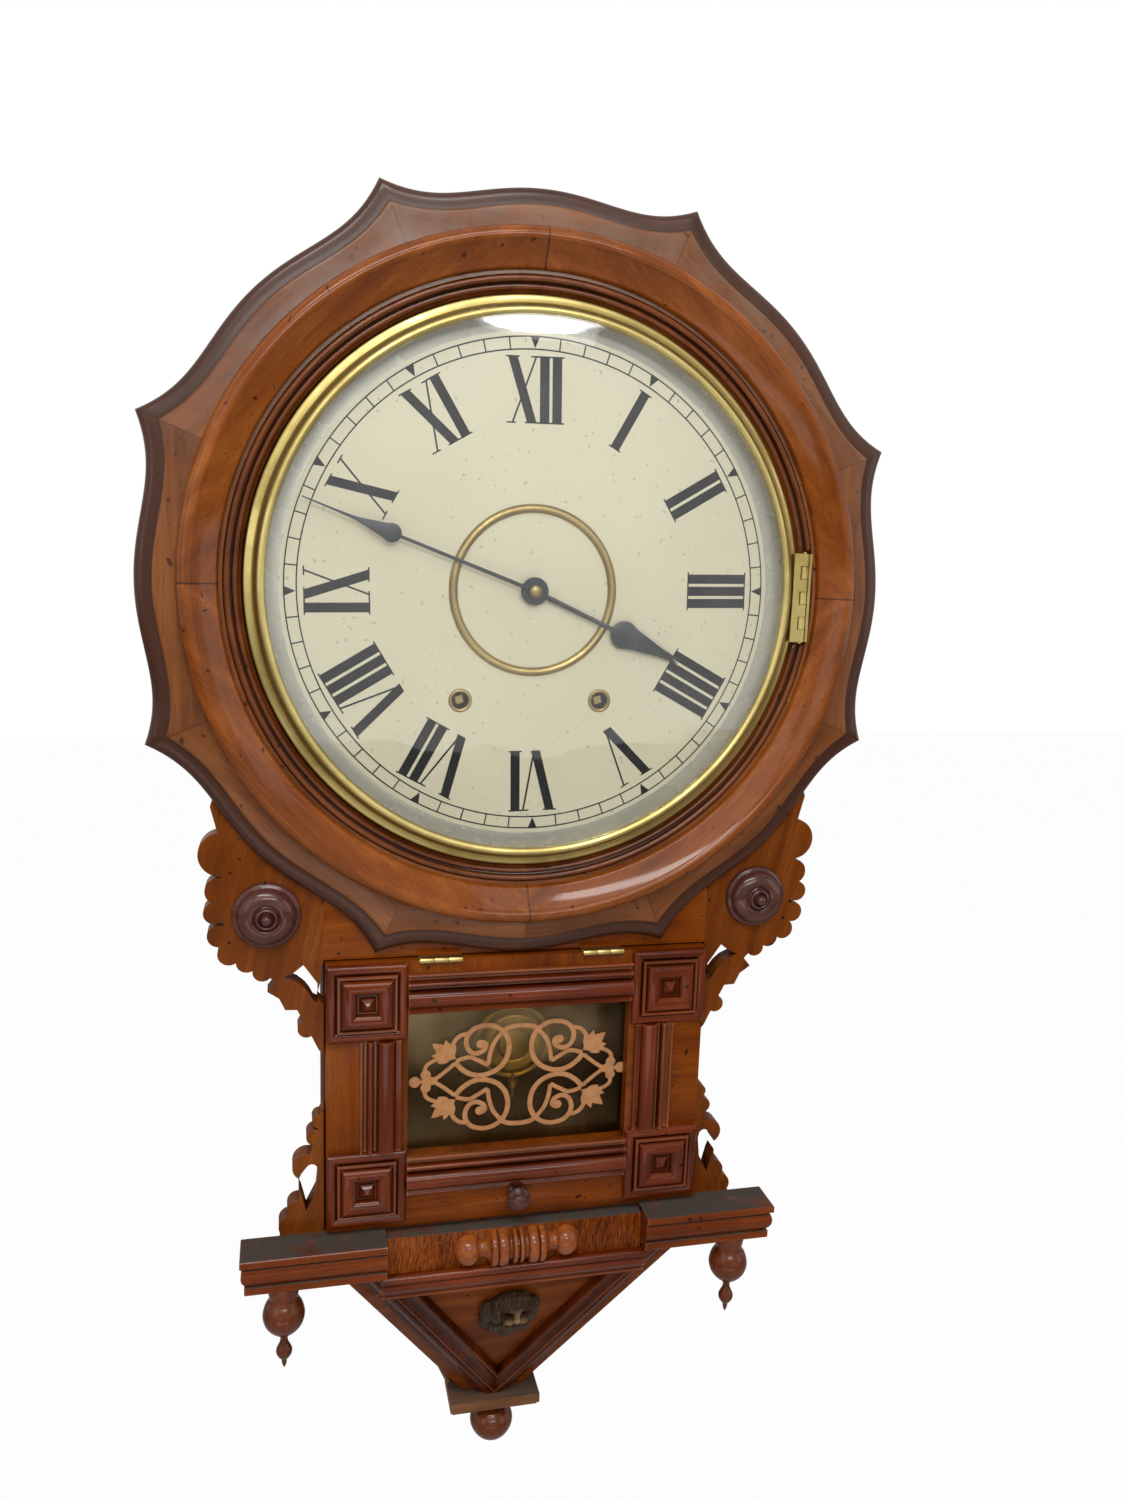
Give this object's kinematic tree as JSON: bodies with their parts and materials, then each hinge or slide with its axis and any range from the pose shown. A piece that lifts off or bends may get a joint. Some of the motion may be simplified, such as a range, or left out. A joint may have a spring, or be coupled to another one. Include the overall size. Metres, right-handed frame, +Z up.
{
  "type": "drop dial wall clock",
  "caption": "Wall clock with a round dial in a brace-edged octagonal head, a glazed pendulum door, shelves and a tapering foot.",
  "frame": {"origin": "middle of the hanging hole, in the plane of the wall", "axes": "+X to the right seen from the front, +Y into the wall, +Z up; the dial faces -Y"},
  "size_m": [0.4256, 0.0984, 0.8035],
  "materials": {
    "pine": "bare, aged",
    "dark_walnut": "satin varnish",
    "walnut": "gloss varnish",
    "light_walnut": "gloss varnish",
    "mahogany": "gloss varnish",
    "oxblood": "gloss varnish",
    "bronze": "dark patina",
    "brass": "polished",
    "iron": "dull black",
    "steel": "plain",
    "blued_steel": "blued",
    "dial_paint": "cream enamel paint",
    "clear_glass": "clear",
    "door_glass": "grey, gilt scrolls"
  },
  "bodies": {
    "case": {"backboard": "pine", "hanger_plate": "iron", "head_box": "dark_walnut", "trunk_sides": "dark_walnut", "trunk_bottom": "dark_walnut", "front_board": "walnut", "surround": "walnut", "round_moulding": "walnut", "bead_moulding": "mahogany", "dial_seat": "pine", "ears": "dark_walnut", "ear_bosses": "oxblood", "brackets": "dark_walnut", "shelves": "mahogany", "apron": "walnut", "split_turning": "light_walnut", "ledge": "mahogany", "foot_panel": "walnut", "foot_cheeks": "dark_walnut", "foot_mouldings": "mahogany", "mask": "bronze", "plinth": "dark_walnut", "bottom_drop": "oxblood", "finials": "oxblood", "dial_plate": "dial_paint", "dial_trim": "brass", "case_leaf": "brass", "board_leaves": "brass", "movement_frame": "brass", "mainsprings": "steel", "gong": "steel"},
    "bezel": {"bezel": "brass", "bezel_glass": "clear_glass", "bezel_leaf": "brass"},
    "door": {"door_frame": "walnut", "door_blocks": "mahogany", "door_rails": "mahogany", "door_stiles": "mahogany", "door_glass": "door_glass", "door_knob": "oxblood", "door_leaves": "brass"},
    "cannon": {"cannon_pipe": "brass", "minute_hand": "blued_steel", "hand_nut": "brass"},
    "hour": {"hour_pipe": "brass", "hour_hand": "blued_steel"},
    "motion_wheel": {"motion_arbor": "brass"},
    "centre_wheel": {"centre_arbor": "brass"},
    "great_wheel": {"great_arbor": "brass"},
    "second_wheel": {"second_arbor": "brass"},
    "third_wheel": {"third_arbor": "brass"},
    "escape_wheel": {"escape_arbor": "brass"},
    "verge": {"verge": "steel"},
    "pendulum": {"pendulum_rod": "steel", "pendulum_bob": "brass", "rating_nut": "brass"},
    "strike_great": {"strike_arbor": "brass"},
    "strike_second": {"strike_second": "brass"},
    "fly": {"fly": "brass"},
    "hammer": {"hammer": "steel"}
  },
  "joints": [
    {"name": "bezel_hinge", "type": "hinge", "parent": "case", "child": "bezel", "pos_m": [0.161, -0.0845, -0.165], "axis": [0, 0, 1], "range_deg": [0, 100]},
    {"name": "door_hinge", "type": "hinge", "parent": "case", "child": "door", "pos_m": [0, -0.0813, -0.3792], "axis": [-1, 0, 0], "range_deg": [0, 85]},
    {"name": "hands_turn", "type": "hinge", "parent": "case", "child": "cannon", "pos_m": [0, 0, -0.165], "axis": [0, 1, 0], "continuous": true},
    {"name": "hour_turn", "type": "hinge", "parent": "case", "child": "hour", "pos_m": [0, 0, -0.165], "axis": [0, 1, 0], "continuous": true},
    {"name": "motion_turn", "type": "hinge", "parent": "case", "child": "motion_wheel", "pos_m": [-0.00983, 0, -0.17188], "axis": [0, 1, 0], "continuous": true},
    {"name": "escape_turn", "type": "hinge", "parent": "case", "child": "escape_wheel", "pos_m": [-0.021, 0, -0.145], "axis": [0, 1, 0], "continuous": true},
    {"name": "centre_turn", "type": "hinge", "parent": "case", "child": "centre_wheel", "pos_m": [0, 0, -0.165], "axis": [0, 1, 0], "continuous": true},
    {"name": "great_turn", "type": "hinge", "parent": "case", "child": "great_wheel", "pos_m": [0.04051, 0, -0.22699], "axis": [0, 1, 0], "continuous": true},
    {"name": "second_turn", "type": "hinge", "parent": "case", "child": "second_wheel", "pos_m": [0.01695, 0, -0.19878], "axis": [0, 1, 0], "continuous": true},
    {"name": "third_turn", "type": "hinge", "parent": "case", "child": "third_wheel", "pos_m": [-0.0279, 0, -0.16736], "axis": [0, 1, 0], "continuous": true},
    {"name": "pendulum_swing", "type": "hinge", "parent": "case", "child": "pendulum", "pos_m": [0, 0, -0.1194], "axis": [0, 1, 0], "range_deg": [-3, 3]},
    {"name": "verge_rock", "type": "hinge", "parent": "case", "child": "verge", "pos_m": [0, 0, -0.135], "axis": [0, 1, 0], "range_deg": [-4.2, 4.2]},
    {"name": "fly_turn", "type": "hinge", "parent": "case", "child": "fly", "pos_m": [-0.06352, 0, -0.1812], "axis": [0, 1, 0], "continuous": true},
    {"name": "strike_great_turn", "type": "hinge", "parent": "case", "child": "strike_great", "pos_m": [-0.04051, 0, -0.22699], "axis": [0, 1, 0], "continuous": true},
    {"name": "strike_second_turn", "type": "hinge", "parent": "case", "child": "strike_second", "pos_m": [-0.04689, 0, -0.1908], "axis": [0, 1, 0], "continuous": true},
    {"name": "hammer_lift", "type": "hinge", "parent": "case", "child": "hammer", "pos_m": [0, 0, -0.25899], "axis": [0, 1, 0], "range_deg": [0, 18]}
  ],
  "couplings": [
    {"joint": "centre_turn", "follows": "escape_turn", "ratio": 0.012698},
    {"joint": "great_turn", "follows": "escape_turn", "ratio": 0.00070547},
    {"joint": "second_turn", "follows": "escape_turn", "ratio": -0.0042328},
    {"joint": "third_turn", "follows": "escape_turn", "ratio": -0.11429},
    {"joint": "hour_turn", "follows": "hands_turn", "ratio": 0.083333},
    {"joint": "motion_turn", "follows": "hands_turn", "ratio": -0.33333},
    {"joint": "verge_rock", "follows": "pendulum_swing", "ratio": 1.3391},
    {"joint": "strike_second_turn", "follows": "fly_turn", "ratio": -0.2},
    {"joint": "strike_great_turn", "follows": "fly_turn", "ratio": 0.033333}
  ]
}
